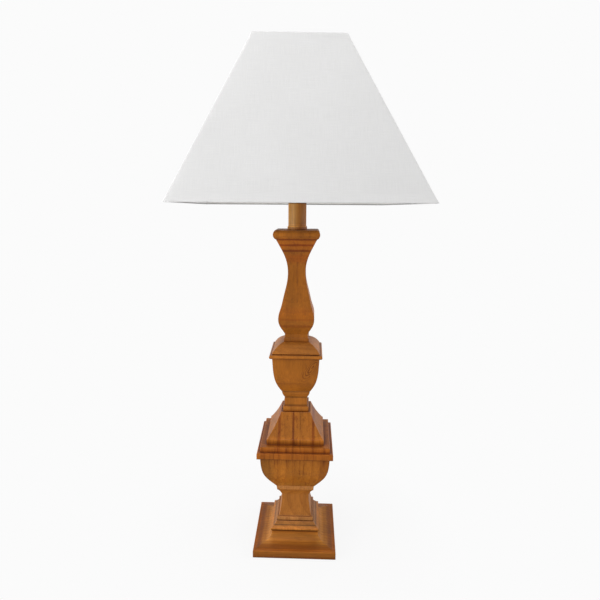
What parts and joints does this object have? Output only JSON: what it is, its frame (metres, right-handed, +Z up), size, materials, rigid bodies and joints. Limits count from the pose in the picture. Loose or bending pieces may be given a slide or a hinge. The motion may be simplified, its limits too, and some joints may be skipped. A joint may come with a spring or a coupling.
{
  "type": "table lamp",
  "caption": "Table lamp with a square-plan moulded wooden column on a stepped base and a tapered square fabric shade held by a wire harp and finial.",
  "frame": {"origin": "centre of the felt pad's underside, on the column's axis", "axes": "+Z up the column, -Y towards the front, +X to the right as seen from the front"},
  "size_m": [0.3242, 0.3242, 0.7267],
  "materials": {
    "stained_wood": "satin stained and waxed hardwood",
    "felt": "matt wool felt",
    "brass": "satin lacquered brass",
    "zinc_plated_steel": "dull zinc plate",
    "moulded_plastic": "satin dark moulding",
    "liner_card": "plain board",
    "frame_wire": "white dipped wire",
    "shade_fabric": "matt woven fabric on stiff lining",
    "frosted_glass": "frosted",
    "bulb_cap_metal": "bright pressed sheet",
    "bulb_insulator": "black vitreous"
  },
  "bodies": {
    "column": {"felt_pad": "felt", "base_slab": "stained_wood", "pedestal": "stained_wood", "lower_bowl": "stained_wood", "lower_cover": "stained_wood", "cup_stem": "stained_wood", "upper_cup": "stained_wood", "upper_cover": "stained_wood", "vase_baluster": "stained_wood", "capital": "stained_wood", "neck_sleeve": "stained_wood", "lamp_pipe": "zinc_plated_steel", "base_washer": "zinc_plated_steel", "lock_washer": "zinc_plated_steel", "base_nut": "zinc_plated_steel", "cord_bushing": "moulded_plastic", "check_ring": "brass", "harp_saddle": "brass", "socket_cap": "brass", "socket_shell": "brass", "socket_liner": "liner_card", "socket_mechanism": "moulded_plastic", "screw_shell": "brass", "centre_contact": "brass", "terminal_screws": "brass", "harp": "brass"},
    "shade": {"harp_stud": "brass", "shade_spider": "frame_wire", "shade_top_ring": "frame_wire", "shade_bottom_ring": "frame_wire", "shade_panel_front": "shade_fabric", "shade_panel_right": "shade_fabric", "shade_panel_back": "shade_fabric", "shade_panel_left": "shade_fabric", "shade_top_trim": "shade_fabric", "shade_bottom_trim": "shade_fabric"},
    "finial": {"finial": "brass"},
    "bulb": {"bulb_glass": "frosted_glass", "bulb_screw_cap": "bulb_cap_metal", "bulb_insulator": "bulb_insulator", "bulb_contact": "bulb_cap_metal"},
    "switch": {"switch_shaft": "zinc_plated_steel", "switch_knob": "moulded_plastic"},
    "ferrule_left": {"ferrule_left": "brass"},
    "ferrule_right": {"ferrule_right": "brass"}
  },
  "joints": [
    {"name": "shade_swivel", "type": "hinge", "parent": "column", "child": "shade", "pos_m": [0, 0, 0.7], "axis": [0, 0, 1], "continuous": true},
    {"name": "finial_lift", "type": "slide", "parent": "shade", "child": "finial", "axis": [0, 0, 1], "range_m": [0, 0.014]},
    {"name": "bulb_lift", "type": "slide", "parent": "column", "child": "bulb", "axis": [0, 0, 1], "range_m": [0, 0.02]},
    {"name": "switch_turn", "type": "hinge", "parent": "column", "child": "switch", "pos_m": [0, -0.02, 0.5531], "axis": [0, 1, 0], "continuous": true},
    {"name": "ferrule_left_slide", "type": "slide", "parent": "column", "child": "ferrule_left", "axis": [0, 0, 1], "range_m": [0, 0.01]},
    {"name": "ferrule_right_slide", "type": "slide", "parent": "column", "child": "ferrule_right", "axis": [0, 0, 1], "range_m": [0, 0.01]}
  ]
}
